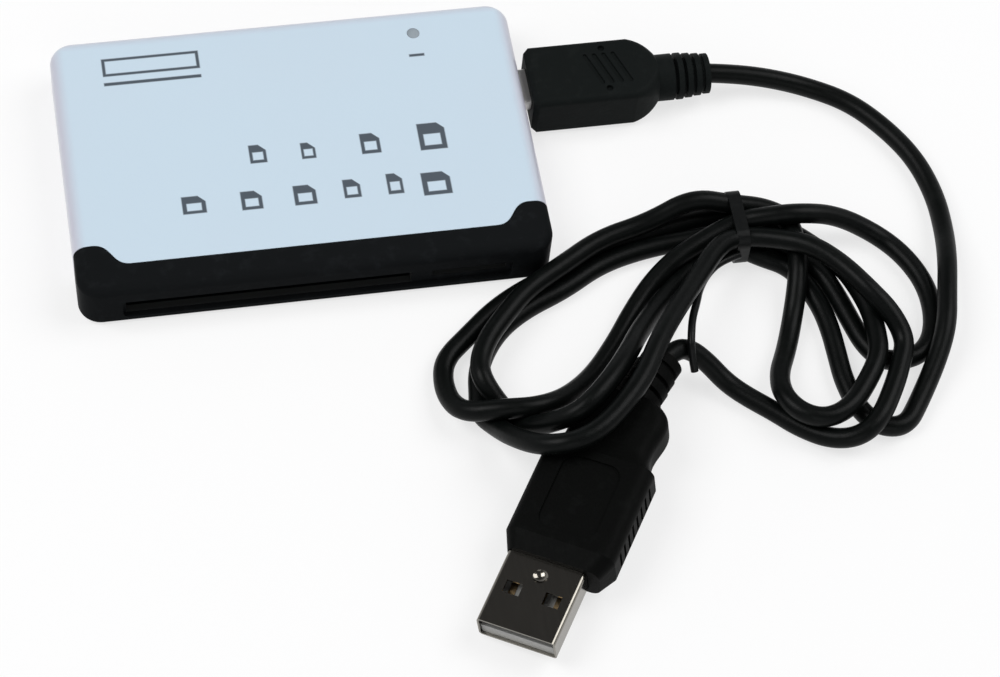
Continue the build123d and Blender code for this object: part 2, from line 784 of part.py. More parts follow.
# Frame of the USB-A plug: across it, along it towards the cord, and up
plug_along = Vector(0, 1, 0).rotate(Axis.X, usb_pitch).rotate(Axis.Z, usb_yaw)
plug_across = Vector(1, 0, 0).rotate(Axis.Y, usb_lean).rotate(Axis.X, usb_pitch).rotate(Axis.Z, usb_yaw)
plug_up = plug_across.cross(plug_along)
plug_tip = Vector(*usb_tip)
plug_flat = Plane(origin=plug_tip, x_dir=plug_across, z_dir=plug_up)
relief_along = plug_along.rotate(Axis((0, 0, 0), tuple(plug_up)), -usb_relief_turn)
relief_start = plug_tip + plug_along * (usb_neck_from_tip - usb_panel_depth) + plug_across * usb_relief_offset
relief_pitch = usb_relief_rib_width + usb_relief_gap_width
relief_length = usb_relief_rib_count * relief_pitch
usb_exit = relief_start + relief_along * relief_length
usb_turn = usb_exit + relief_along * cord_diameter


def plug_station(distance):
    return Plane(origin=plug_tip + plug_along * distance, x_dir=plug_across, z_dir=-plug_along)


def relief_station(distance):
    return Plane(origin=relief_start + relief_along * distance, x_dir=plug_across, z_dir=relief_along)


# Metal shell of the USB-A plug with its windows and a round dimple
dimple_ball = (usb_dimple_radius**2 + usb_dimple_depth**2) / (2 * usb_dimple_depth)
dimple_rise = usb_shell_height / 2 + dimple_ball - usb_dimple_depth
dimple_center = plug_tip + plug_along * usb_dimple_from_tip + plug_up * dimple_rise
with BuildPart() as dimple_wall:
    with Locations(dimple_center):
        Sphere(dimple_ball + usb_shell_sheet)
    split(bisect_by=plug_flat.offset(usb_shell_height / 2 - usb_shell_sheet / 2), keep=Keep.BOTTOM)

with BuildPart() as usb_plug_shell:
    with BuildSketch(plug_station(0)):
        RectangleRounded(usb_shell_width, usb_shell_height, usb_shell_corner)
        offset(amount=-usb_shell_sheet, mode=Mode.SUBTRACT)
    extrude(amount=-usb_shell_length)
    with BuildSketch(plug_flat):
        with Locations((0, usb_window_from_tip)):
            with GridLocations(usb_window_spacing, 1, 2, 1):
                Rectangle(usb_window_width, usb_window_length)
    extrude(amount=usb_shell_height, both=True, mode=Mode.SUBTRACT)
    add(dimple_wall.part)
    with Locations(dimple_center):
        Sphere(dimple_ball, mode=Mode.SUBTRACT)
usb_plug_shell.part.label = "usb_plug_shell"

insert_floor = -usb_shell_height / 2 + usb_shell_sheet + usb_insert_fit
insert_width = usb_shell_width - 2 * usb_shell_sheet - 2 * usb_insert_fit
with BuildPart() as usb_plug_insert:
    with BuildSketch(plug_station(usb_insert_setback)) as insert_section:
        with Locations((0, insert_floor + usb_insert_thickness / 2)):
            Rectangle(insert_width, usb_insert_thickness)
        fillet(insert_section.vertices().group_by(Axis.Y)[0], usb_shell_sheet)
    extrude(amount=usb_insert_setback - usb_shell_length)
usb_plug_insert.part.label = "usb_plug_insert"

with BuildPart() as usb_plug_contacts:
    with BuildSketch(plug_flat.offset(insert_floor + usb_insert_thickness)):
        with Locations((0, usb_contact_setback + usb_contact_length / 2)):
            with Locations(*[(place, 0) for place in usb_contact_places]):
                Rectangle(usb_contact_width, usb_contact_length)
    extrude(amount=contact_thickness)
usb_plug_contacts.part.label = "usb_plug_contacts"

# Moulded grip of the USB-A plug: tapered front, block, waist, ring and neck, then a ribbed sleeve
usb_block_from_tip = usb_visible_length + usb_front_taper
usb_block_end = usb_visible_length + usb_body_length
usb_pocket_depth = usb_shell_length - usb_visible_length
with BuildPart() as usb_plug_overmould:
    with BuildSketch(plug_station(usb_visible_length)):
        with Locations((usb_body_offset, 0)):
            RectangleRounded(usb_front_width, usb_front_thickness, usb_body_corner - usb_panel_depth)
    with BuildSketch(plug_station(usb_block_from_tip)):
        with Locations((usb_body_offset, 0)):
            RectangleRounded(usb_body_width, usb_body_thickness, usb_body_corner)
    loft()
    with BuildSketch(plug_station(usb_block_from_tip)):
        with Locations((usb_body_offset, 0)):
            RectangleRounded(usb_body_width, usb_body_thickness, usb_body_corner)
    extrude(amount=usb_block_from_tip - usb_block_end)
    with BuildSketch(plug_station(usb_block_end)):
        with Locations((usb_body_offset, 0)):
            RectangleRounded(usb_body_width, usb_body_thickness, usb_body_corner)
    with BuildSketch(plug_station(usb_waist_from_tip)):
        with Locations((usb_body_offset, 0)):
            RectangleRounded(usb_waist_width, usb_waist_thickness, usb_body_corner)
    with BuildSketch(plug_station(usb_ring_from_tip)):
        with Locations((usb_body_offset, 0)):
            RectangleRounded(usb_ring_width, usb_ring_thickness, usb_body_corner)
    with BuildSketch(plug_station(usb_neck_from_tip)):
        with Locations((usb_body_offset, 0)):
            RectangleRounded(usb_neck_width, usb_neck_thickness, usb_body_corner)
    loft()
    with BuildSketch(plug_flat.offset(usb_body_thickness / 2)):
        with Locations((usb_body_offset, (usb_block_from_tip + usb_block_end) / 2)):
            RectangleRounded(usb_panel_width, usb_panel_length, usb_body_corner)
    extrude(amount=-usb_panel_depth, mode=Mode.SUBTRACT)
    with BuildSketch(plug_flat):
        with Locations((usb_body_offset, (usb_block_from_tip + usb_block_end) / 2)):
            with GridLocations(usb_body_width, usb_groove_pitch, 2, usb_groove_count):
                Rectangle(2 * usb_groove_depth, usb_groove_width)
    extrude(amount=usb_body_thickness / 2 - usb_body_corner, both=True, mode=Mode.SUBTRACT)
    with BuildSketch(relief_station(-relief_pitch)):
        Circle(relief_core_diameter / 2)
    extrude(amount=relief_length + relief_pitch)
    for rib in range(usb_relief_rib_count):
        rib_share = rib / (usb_relief_rib_count - 1)
        rib_diameter = usb_relief_rib_diameter + rib_share * (relief_end_diameter - usb_relief_rib_diameter)
        with BuildSketch(relief_station(usb_relief_gap_width + rib * relief_pitch)):
            Circle(rib_diameter / 2)
        extrude(amount=usb_relief_rib_width)
    with BuildSketch(plug_station(usb_visible_length)):
        RectangleRounded(
            usb_shell_width + 2 * mould_fit, usb_shell_height + 2 * mould_fit, usb_shell_corner
        )
    extrude(amount=-usb_pocket_depth - mould_fit, mode=Mode.SUBTRACT)
usb_plug_overmould.part.label = "usb_plug_overmould"


def bend_radii(points):
    # Radius at each corner that uses its share of the shorter run beside it
    radii = []
    for before, here, after in zip(points, points[1:], points[2:]):
        run_in = Vector(*here) - Vector(*before)
        run_out = Vector(*after) - Vector(*here)
        turn = radians(run_in.get_angle(run_out))
        radii.append(bend_share * min(run_in.length, run_out.length) / tan(turn / 2))
    return radii


# Loose cord from the mini plug round to the hank
lead_points = [
    (mini_exit_x, usb_center_y, usb_axis_height),
    (72.6, usb_center_y, usb_axis_height),
    (80.0, 7.2, 2.4),
    (88.0, 2.6, 1.6),
    (93.2, -3.6, 1.6),
    (96.4, -11.0, 1.6),
    (97.6, -19.0, 1.8),
    (97.0, -27.0, 2.6),
    (95.4, -33.5, 3.6),
]
lead_radii = bend_radii(lead_points)
with BuildPart() as cord_lead:
    with BuildLine() as lead_path:
        FilletPolyline(*lead_points, radius=lead_radii)
    with BuildSketch(Plane(origin=lead_path.wires()[0] @ 0, z_dir=lead_path.wires()[0] % 0)):
        Circle(cord_radius)
    sweep()
cord_lead.part.label = "cord_lead"
lead_length = lead_path.wires()[0].length

# Loose cord from the USB-A plug to the hank
tail_points = [
    (usb_exit.X, usb_exit.Y, usb_exit.Z),
    (usb_turn.X, usb_turn.Y, usb_turn.Z),
    (53.6, -41.8, 6.0),
    (56.2, -44.2, 3.6),
    (59.4, -47.4, 1.8),
    (64.0, -51.8, 1.6),
    (66.6, -54.0, 1.7),
]
tail_radii = bend_radii(tail_points)
with BuildPart() as cord_tail:
    with BuildLine() as tail_path:
        FilletPolyline(*tail_points, radius=tail_radii)
    with BuildSketch(Plane(origin=tail_path.wires()[0] @ 0, z_dir=tail_path.wires()[0] % 0)):
        Circle(cord_radius)
    sweep()
cord_tail.part.label = "cord_tail"
tail_length = tail_path.wires()[0].length

# Hank of cord: a ring of turns on the left, a crossed lobe on the right, tied in the middle
left_outline = [
    (64.0, -15.9), (50.0, -17.8), (side_x + hank_side_gap, front_y),
    (24.0, front_y - hank_front_gap), (15.2, -39.5), (20.0, -51.0),
    (36.0, -57.0), (53.4, -38.8), (64.0, -25.0),
]
left_hole = [
    (53.0, -23.6), (43.0, -25.6), (33.5, -30.4), (25.0, -38.5), (25.4, -45.6),
    (38.0, -40.5), (47.0, -31.6),
]
right_outline = [
    (66.0, -15.9), (77.0, -18.8), (89.0, -22.3), (96.8, -33.0), (92.6, -48.0),
    (82.5, -58.6), (72.0, -60.0), (64.0, -51.6), (70.0, -34.0), (66.0, -25.0),
]
strand_points = [
    (23.8, -52.1, 5.0),
    (28.0, -56.0, 10.2),
    (33.0, -57.6, 11.8),
    (38.4, -55.6, 12.2),
    (46.0, -47.0, 12.5),
    (52.0, -38.2, 10.6),
    (57.0, -31.6, 8.4),
    (62.2, -25.4, 6.2),
]
strand_radii = bend_radii(strand_points)
corridor_gap = 0.4
corridor_start = usb_visible_length
corridor_end = usb_neck_from_tip + relief_length + cord_diameter
corridor_width = usb_body_width + 2 * usb_body_offset + 2 * corridor_gap
with BuildPart() as cord_hank:
    with BuildSketch():
        with BuildLine():
            Spline(*left_outline)
            Line(left_outline[-1], left_outline[0])
        make_face()
        with BuildLine():
            Spline(*left_hole, periodic=True)
        make_face(mode=Mode.SUBTRACT)
    extrude(amount=left_lobe_height)
    with BuildSketch():
        with BuildLine():
            Spline(*right_outline)
            Line(right_outline[-1], right_outline[0])
        make_face()
    extrude(amount=right_lobe_height)
    with BuildSketch(plug_flat):
        with Locations((0, (corridor_start + corridor_end) / 2)):
            Rectangle(corridor_width, corridor_end - corridor_start)
    extrude(amount=case_height, both=True, mode=Mode.SUBTRACT)
    with BuildLine() as strand_path:
        FilletPolyline(*strand_points, radius=strand_radii)
    with BuildSketch(Plane(origin=strand_path.wires()[0] @ 0, z_dir=strand_path.wires()[0] % 0)):
        Circle(cord_radius)
    sweep(path=strand_path.wires()[0])
    with BuildSketch(Plane.YZ.offset(tie_x - 2 * tie_width)):
        with Locations((tie_center_y, tie_thickness + tie_fit + tie_bundle_height / 2)):
            RectangleRounded(tie_bundle_width, tie_bundle_height, cord_radius)
    extrude(amount=4 * tie_width)
cord_hank.part.label = "cord_hank"

# Tie: a strip closed round the waist of the hank, and its loose end laid over the cord
with BuildPart() as twist_tie:
    with BuildSketch(Plane.YZ.offset(tie_x - tie_width / 2)):
        with Locations((tie_center_y, tie_thickness + tie_fit + tie_bundle_height / 2)):
            RectangleRounded(
                tie_bundle_width + 2 * (tie_fit + tie_thickness),
                tie_bundle_height + 2 * (tie_fit + tie_thickness),
                cord_radius + tie_fit + tie_thickness,
            )
            RectangleRounded(
                tie_bundle_width + 2 * tie_fit,
                tie_bundle_height + 2 * tie_fit,
                cord_radius + tie_fit,
                mode=Mode.SUBTRACT,
            )
    extrude(amount=tie_width)
twist_tie.part.label = "twist_tie"

wire_points = [
    (57.2, -31.6, 5.6),
    (55.4, -34.9, 7.4),
    (53.7, -39.0, 8.7),
    (52.8, -42.5, 8.9),
    (52.6, -44.4, 7.6),
    (53.0, -46.2, 5.4),
]
wire_radii = bend_radii(wire_points)
with BuildPart() as tie_tail:
    with BuildLine() as wire_path:
        FilletPolyline(*wire_points, radius=wire_radii)
    with BuildSketch(Plane(origin=wire_path.wires()[0] @ 0, z_dir=wire_path.wires()[0] % 0)):
        Circle(tie_wire_diameter / 2)
    sweep()
tie_tail.part.label = "tie_tail"

pieces = [
    top_cover, bottom_cover, front_bezel, led_lens, circuit_board, cf_socket, cf_pins,
    micro_socket_body, micro_socket_shield, micro_contacts,
    combo_socket_body, combo_socket_cover, combo_contacts,
    stick_socket_body, stick_socket_shield,
    usb_socket_shell, usb_socket_tongue, usb_socket_contacts,
    controller_chip, crystal, status_led, capacitors, resistors,
    mini_plug_overmould, mini_plug_shell, mini_plug_insert,
    usb_plug_overmould, usb_plug_shell, usb_plug_insert, usb_plug_contacts,
    cord_lead, cord_tail, cord_hank, twist_tie, tie_tail,
]
for piece in pieces:
    export_step(piece.part, f"parts/{piece.part.label}.step")

cord_area = pi * cord_radius**2
print("lead radii", [round(radius, 1) for radius in lead_radii], "length", round(lead_length, 1))
print("tail radii", [round(radius, 1) for radius in tail_radii], "length", round(tail_length, 1))
print("strand radii", [round(radius, 1) for radius in strand_radii])
print("wire radii", [round(radius, 1) for radius in wire_radii])
print("lead volume", round(cord_lead.part.volume, 1), "of", round(cord_area * lead_length, 1))
print("tail volume", round(cord_tail.part.volume, 1), "of", round(cord_area * tail_length, 1))
print("cord leaves the large plug at", tuple(round(value, 2) for value in tuple(usb_exit)))
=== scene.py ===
import bpy
import math
from mathutils import Matrix, Vector


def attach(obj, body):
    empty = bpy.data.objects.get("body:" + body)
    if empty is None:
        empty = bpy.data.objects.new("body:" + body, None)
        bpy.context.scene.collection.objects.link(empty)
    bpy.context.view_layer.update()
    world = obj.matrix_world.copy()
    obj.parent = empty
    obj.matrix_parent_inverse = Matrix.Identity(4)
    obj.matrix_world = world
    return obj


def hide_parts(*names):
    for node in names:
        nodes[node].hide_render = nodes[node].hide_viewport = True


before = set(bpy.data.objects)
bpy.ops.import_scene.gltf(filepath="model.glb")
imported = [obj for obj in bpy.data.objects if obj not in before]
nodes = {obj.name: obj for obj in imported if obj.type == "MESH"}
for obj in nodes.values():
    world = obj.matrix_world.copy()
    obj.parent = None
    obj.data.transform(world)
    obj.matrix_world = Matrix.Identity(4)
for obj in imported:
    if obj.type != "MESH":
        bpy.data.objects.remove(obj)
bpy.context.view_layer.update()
bpy.ops.object.select_all(action="DESELECT")
bpy.context.scene.view_settings.view_transform = "Standard"
print("frame loaded:", len(nodes), "nodes")

# camera, at the photograph's angle: long lens, tilted a little to the right
cameraPlace = {
    "azimuth": -15.709,
    "elevation": 57.33,
    "roll": 7.084,
    "distance": 0.48274,
    "target": (0.02612, -0.033478, 0.0),
    "lens": 115.2,
    "sensor": 36.0,
}


def setCamera(p):
    az, el, roll = (math.radians(p[k]) for k in ("azimuth", "elevation", "roll"))
    back = Vector((math.sin(az) * math.cos(el), -math.cos(az) * math.cos(el), math.sin(el)))
    level = Vector((math.cos(az), math.sin(az), 0.0))
    rise = back.cross(level)
    right = level * math.cos(roll) + rise * math.sin(roll)
    up = rise * math.cos(roll) - level * math.sin(roll)
    data = bpy.data.cameras.new("photoCamera")
    data.sensor_fit = "HORIZONTAL"
    data.sensor_width = p["sensor"]
    data.lens = p["lens"]
    data.clip_start = 0.01
    data.clip_end = 20.0
    camera = bpy.data.objects.new("photoCamera", data)
    bpy.context.scene.collection.objects.link(camera)
    turn = Matrix((right, up, back)).transposed().to_4x4()
    camera.matrix_world = Matrix.Translation(Vector(p["target"]) + back * p["distance"]) @ turn
    bpy.context.scene.camera = camera


setCamera(cameraPlace)
print("camera set")

# the cord: out of the small plug, into a loose figure of two lobes that a wire tie holds at its waist,
# and into the large plug
cord = {
    "exit": (0.0664, 0.0088, 0.0043),
    "diameter": 0.0031,
    "length": 0.785,
    "roundness": 6,
    "route": [
        # out of the small plug and round the right edge of the hank
        (0.0664, 0.0088, 0.0043), (0.0705, 0.0085, 0.0039), (0.0765, 0.0075, 0.0031), (0.0825, 0.006, 0.0018),
        (0.0885, 0.0025, 0.0016), (0.093, -0.003, 0.0016), (0.0965, -0.0095, 0.0016), (0.098, -0.017, 0.0016),
        (0.0975, -0.0245, 0.0024), (0.096, -0.031, 0.0044), (0.0945, -0.0365, 0.0049), (0.093, -0.0425, 0.0048),
        (0.0905, -0.0475, 0.0032), (0.0865, -0.0535, 0.0016), (0.0835, -0.0575, 0.0016), (0.0795, -0.057, 0.0016),
        (0.077, -0.0535, 0.0016), (0.076, -0.0485, 0.0016),
        # back up through the right lobe to the tie, front and low
        (0.076, -0.044, 0.0016), (0.076, -0.0395, 0.0016), (0.0755, -0.035, 0.0016), (0.074, -0.0305, 0.0016),
        (0.072, -0.027, 0.0016), (0.068, -0.025, 0.0019), (0.065, -0.023, 0.0022),
        # first turn of the left lobe
        (0.058, -0.025, 0.0022), (0.052, -0.031, 0.003), (0.046, -0.039, 0.0076), (0.042, -0.046, 0.0113),
        (0.0375, -0.0515, 0.0124), (0.0335, -0.0545, 0.0116), (0.03, -0.054, 0.0087), (0.027, -0.052, 0.0046),
        (0.0245, -0.0475, 0.0016), (0.0215, -0.0435, 0.0048), (0.0215, -0.04, 0.0046), (0.0235, -0.036, 0.0046),
        (0.027, -0.032, 0.0046), (0.031, -0.028, 0.0046), (0.037, -0.0245, 0.0046), (0.0435, -0.0205, 0.0046),
        (0.0515, -0.0185, 0.0046), (0.0585, -0.0165, 0.0072), (0.065, -0.0172, 0.0053),
        # inner turn of the right lobe
        (0.0695, -0.018, 0.0049), (0.073, -0.02, 0.0044), (0.0735, -0.0235, 0.0045), (0.073, -0.0285, 0.0047),
        (0.072, -0.0325, 0.0034), (0.0705, -0.037, 0.0017), (0.0685, -0.042, 0.0016), (0.066, -0.047, 0.003),
        (0.0655, -0.0515, 0.0045), (0.0675, -0.055, 0.0048), (0.071, -0.0565, 0.0048), (0.075, -0.055, 0.0048),
        (0.0785, -0.051, 0.0048), (0.0815, -0.0465, 0.0048), (0.082, -0.042, 0.0047), (0.082, -0.038, 0.0044),
        (0.081, -0.0335, 0.0042), (0.08, -0.0295, 0.0032), (0.0775, -0.025, 0.0019), (0.074, -0.021, 0.0016),
        (0.07, -0.0185, 0.0018), (0.065, -0.0172, 0.0022),
        # second turn of the left lobe, the outer one
        (0.0595, -0.017, 0.0019), (0.0515, -0.0185, 0.0016), (0.043, -0.02, 0.0016), (0.0375, -0.0235, 0.0016),
        (0.0305, -0.0265, 0.0016), (0.0255, -0.0295, 0.0016), (0.021, -0.0335, 0.0016), (0.017, -0.037, 0.0016),
        (0.016, -0.041, 0.0017), (0.0165, -0.0455, 0.0028), (0.0185, -0.0485, 0.0047), (0.023, -0.0495, 0.0064),
        (0.0285, -0.05, 0.0066), (0.0335, -0.0475, 0.0042), (0.0385, -0.043, 0.0019), (0.043, -0.0375, 0.0016),
        (0.0465, -0.0325, 0.0018), (0.0505, -0.028, 0.003), (0.0555, -0.0245, 0.0044), (0.065, -0.0203, 0.0053),
        # outer turn of the right lobe
        (0.069, -0.021, 0.0067), (0.074, -0.0215, 0.0076), (0.0805, -0.021, 0.0052), (0.087, -0.023, 0.0017),
        (0.0905, -0.0275, 0.0016), (0.0925, -0.033, 0.0016), (0.0925, -0.0385, 0.0016), (0.091, -0.043, 0.0016),
        (0.0885, -0.0455, 0.0016), (0.085, -0.046, 0.0016), (0.0825, -0.0455, 0.0016), (0.0805, -0.0425, 0.0016),
        (0.0795, -0.0385, 0.0016), (0.0785, -0.034, 0.0016), (0.077, -0.029, 0.0016), (0.074, -0.0255, 0.0016),
        (0.07, -0.022, 0.0018), (0.065, -0.0203, 0.0022),
        # last turn of the left lobe, which lies over the large plug
        (0.0595, -0.0205, 0.0018), (0.0515, -0.021, 0.0016), (0.0435, -0.023, 0.0016), (0.037, -0.027, 0.0016),
        (0.031, -0.0295, 0.0016), (0.0265, -0.0325, 0.0016), (0.0235, -0.036, 0.0016), (0.0215, -0.04, 0.0016),
        (0.021, -0.044, 0.0016), (0.0205, -0.047, 0.0016), (0.0225, -0.0505, 0.003), (0.024, -0.0545, 0.0066),
        (0.0265, -0.058, 0.0098), (0.0295, -0.0595, 0.0116), (0.0325, -0.0595, 0.0121), (0.036, -0.058, 0.0123),
        (0.04, -0.0545, 0.0123), (0.044, -0.05, 0.0125), (0.047, -0.0445, 0.0122), (0.051, -0.0385, 0.0106),
        (0.0565, -0.031, 0.008), (0.061, -0.025, 0.0066), (0.065, -0.0232, 0.0052),
        # middle turn of the right lobe, on top, then across the gap to the large plug
        (0.069, -0.0245, 0.0062), (0.0745, -0.0275, 0.0079), (0.0785, -0.0315, 0.0078), (0.0815, -0.0365, 0.0079),
        (0.0845, -0.0405, 0.0066), (0.086, -0.0445, 0.0048), (0.0845, -0.048, 0.0047), (0.0825, -0.052, 0.0047),
        (0.079, -0.0575, 0.0046), (0.0755, -0.0595, 0.0036), (0.0715, -0.0585, 0.0022), (0.0675, -0.0555, 0.0016),
        (0.0645, -0.0525, 0.0016), (0.0605, -0.049, 0.0016), (0.058, -0.0465, 0.002), (0.0555, -0.044, 0.004),
        (0.053, -0.0425, 0.0058), (0.0505, -0.043, 0.007), (0.04825, -0.04484, 0.00733),
    ],
}


# loose end of the tie: a coated wire that leaves the tie behind the top strand and hangs over the hump of cord
tieTail = {
    "diameter": 0.0012,
    "roundness": 5,
    "route": [
        (0.0645, -0.0256, 0.004), (0.0615, -0.0262, 0.0038), (0.0585, -0.029, 0.0046), (0.0565, -0.0323, 0.0058),
        (0.0554, -0.0352, 0.0074), (0.0537, -0.039, 0.0087), (0.0528, -0.0425, 0.0089), (0.0526, -0.0444, 0.0076),
        (0.053, -0.0462, 0.0054),
    ],
}


def layCurve(name, p):
    data = bpy.data.curves.new(name, "CURVE")
    data.dimensions = "3D"
    data.bevel_depth = 1.0  # each point's radius is the piece's own
    data.bevel_resolution = p["roundness"]
    data.resolution_u = 8
    data.use_fill_caps = True
    line = data.splines.new("NURBS")
    line.points.add(len(p["route"]) - 1)
    for point, place in zip(line.points, p["route"]):
        point.co = (*place, 1.0)
        point.radius = p["diameter"] / 2
    line.order_u = 3
    line.use_endpoint_u = True  # only holds once the points are there
    piece = bpy.data.objects.new(name, data)
    bpy.context.scene.collection.objects.link(piece)
    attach(piece, "root")
    return piece


def layTieWire(t):
    piece = layCurve("tieWire", t)
    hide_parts("tie_tail")
    return piece


def layCord(c):
    piece = layCurve("cord", c)
    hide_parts("cord_lead", "cord_hank", "cord_tail")
    return piece


tieWire = layTieWire(tieTail)
cordPiece = layCord(cord)
print("cord laid:", len(cord["route"]), "points")


# shader values that take Python's operators, and a finish that makes its own nodes
class Value:
    def __init__(self, finish, socket):
        self.finish = finish
        self.socket = socket

    def reckon(self, operation, *inputs):
        return self.finish.node("ShaderNodeMath", {"operation": operation}, dict(enumerate(inputs)))

    def __add__(self, other):
        return self.reckon("ADD", self, other)

    def __radd__(self, other):
        return self.reckon("ADD", other, self)

    def __sub__(self, other):
        return self.reckon("SUBTRACT", self, other)

    def __rsub__(self, other):
        return self.reckon("SUBTRACT", other, self)

    def __mul__(self, other):
        return self.reckon("MULTIPLY", self, other)

    def __rmul__(self, other):
        return self.reckon("MULTIPLY", other, self)

    def __abs__(self):
        return self.reckon("ABSOLUTE", self)

    def over(self, other):
        return self.reckon("MAXIMUM", self, other)

    def under(self, other):
        return self.reckon("MINIMUM", self, other)

    def within(self):
        return self.over(0.0).under(1.0)

    def step(self, low, high):
        return self.finish.node("ShaderNodeMapRange", {"interpolation_type": "SMOOTHSTEP"},
                                {"Value": self, "From Min": low, "From Max": high, "To Min": 0.0, "To Max": 1.0})


class Finish:
    def __init__(self, name, **constants):
        self.material = bpy.data.materials.new(name)
        self.material.use_nodes = True
        self.tree = self.material.node_tree
        self.shader = self.tree.nodes["Principled BSDF"]
        self.set(**constants)
        self.place = self.node("ShaderNodeTexCoord", out="Object")

    def feed(self, socket, value):
        if isinstance(value, Value):
            self.tree.links.new(value.socket, socket)
        else:
            socket.default_value = value

    def node(self, kind, settings=None, sockets=None, out=0):
        made = self.tree.nodes.new(kind)
        for key, value in (settings or {}).items():
            setattr(made, key, value)
        for key, value in (sockets or {}).items():
            self.feed(made.inputs[key], value)
        return Value(self, made.outputs[out])

    def noise(self, scale, detail=3.0, rough=0.55, at=None):
        return self.node("ShaderNodeTexNoise", {},
                         {"Vector": at or self.place, "Scale": scale, "Detail": detail, "Roughness": rough})

    def stretched(self, turn, size):
        return self.node("ShaderNodeMapping", {},
                         {"Vector": self.place, "Rotation": turn, "Scale": size})

    def axes(self):
        split = self.tree.nodes.new("ShaderNodeSeparateXYZ")
        self.feed(split.inputs[0], self.place)
        return [Value(self, split.outputs[i]) for i in range(3)]

    def blend(self, factor, first, second):
        made = self.tree.nodes.new("ShaderNodeMix")
        made.data_type = "RGBA"
        self.feed(made.inputs[0], factor)
        for socket, value in ((made.inputs[6], first), (made.inputs[7], second)):
            self.feed(socket, value if isinstance(value, Value) else (*value, 1.0))
        return Value(self, made.outputs[2])

    def bump(self, height, strength, depth):
        self.feed(self.shader.inputs["Normal"],
                  self.node("ShaderNodeBump", {}, {"Height": height, "Strength": strength, "Distance": depth}))

    def set(self, **sockets):
        for socket, value in sockets.items():
            self.feed(self.shader.inputs[socket.replace("_", " ")], value)


# moulded pale shell, with plain printed marks where the top cover carries print, and painted shade along its rounded
# edges
paleShell = {
    "colour": (0.58, 0.71, 0.81),
    # painted shade: the case's rounded edges are tinted darker and greyer than its top
    "rimShadeColour": (0.52, 0.49, 0.56),
    "ink": (0.035, 0.045, 0.06),
    "halfWidth": 0.036,
    "halfDepth": 0.0235,
    "rimShadeBand": 0.0024,
    "rimShadeShare": 0.75,
    "cloudShare": 0.12,
    "cloudScale": 55.0,
    "grainScale": 2600.0,
    "coat": 0.18,
    "inkEdge": 0.00012,
    "inkDepth": 0.92,
    "inkFrom": (0.0084, 0.0087),  # height over which print begins, so that none runs down the sides
    "cards": [  # x, y, width, height of each card shape, in metres
        (-0.0065, -0.0015, 0.0026, 0.0034),
        (0.0012, -0.0018, 0.0022, 0.0030),
        (0.0108, -0.0016, 0.0030, 0.0038),
        (0.0204, -0.0014, 0.0042, 0.0050),
        (-0.0172, -0.0097, 0.0036, 0.0032),
        (-0.0085, -0.0099, 0.0032, 0.0034),
        (-0.0004, -0.0099, 0.0034, 0.0036),
        (0.0068, -0.0096, 0.0026, 0.0034),
        (0.0134, -0.0095, 0.0024, 0.0038),
        (0.0197, -0.0102, 0.0044, 0.0042),
    ],
    "corner": 0.0011,  # cut off each card shape
    "bars": [  # x, y, width, height
        (-0.0207, 0.0143, 0.0150, 0.0006),
        (0.0205, 0.0143, 0.0024, 0.0005),
    ],
    "frame": (-0.0207, 0.0175, 0.0150, 0.0034, 0.0005),  # x, y, width, height, line
}


def box(x, y, centreX, centreY, width, height):
    return (abs(x - centreX) - width / 2).over(abs(y - centreY) - height / 2)


def makePaleShell(p, printed):
    f = Finish("paleShellPrinted" if printed else "paleShell", Specular_IOR_Level=0.5, Coat_Roughness=0.12)
    x, y, z = f.axes()
    rim = (p["halfWidth"] - abs(x)).under(p["halfDepth"] - abs(y))
    # painted shade: a band along the case's rounded edges blends toward the darker, greyer rim tone
    rimShade = 1.0 - rim.step(0.0, p["rimShadeBand"])
    cloud = f.noise(p["cloudScale"], 2.0)
    tone = f.blend((rimShade * p["rimShadeShare"] + cloud * p["cloudShare"]).within(), p["colour"], p["rimShadeColour"])
    if printed:
        ink = None
        for cx, cy, w, h in p["cards"]:
            shape = box(x, y, cx, cy, w, h).over((x - cx) + (y - cy) - (w + h) / 2 + p["corner"])
            label = box(x, y, cx, cy - h * 0.12, w * 0.62, h * 0.42)
            shape = shape.over(0.0 - label)
            ink = shape if ink is None else ink.under(shape)
        for bar in p["bars"]:
            ink = ink.under(box(x, y, *bar))
        cx, cy, w, h, line = p["frame"]
        outer = box(x, y, cx, cy, w, h)
        ink = ink.under(outer.over(0.0 - (outer + line)))
        inked = (1.0 - ink.step(-p["inkEdge"], p["inkEdge"])) * z.step(*p["inkFrom"])
        tone = f.blend(inked * p["inkDepth"], tone, p["ink"])
    grain = f.noise(p["grainScale"], 2.0)
    f.set(Base_Color=tone, Roughness=0.26 + 0.10 * cloud + 0.04 * grain, Coat_Weight=p["coat"])
    f.bump(grain, 0.05, 0.0002)
    return f.material


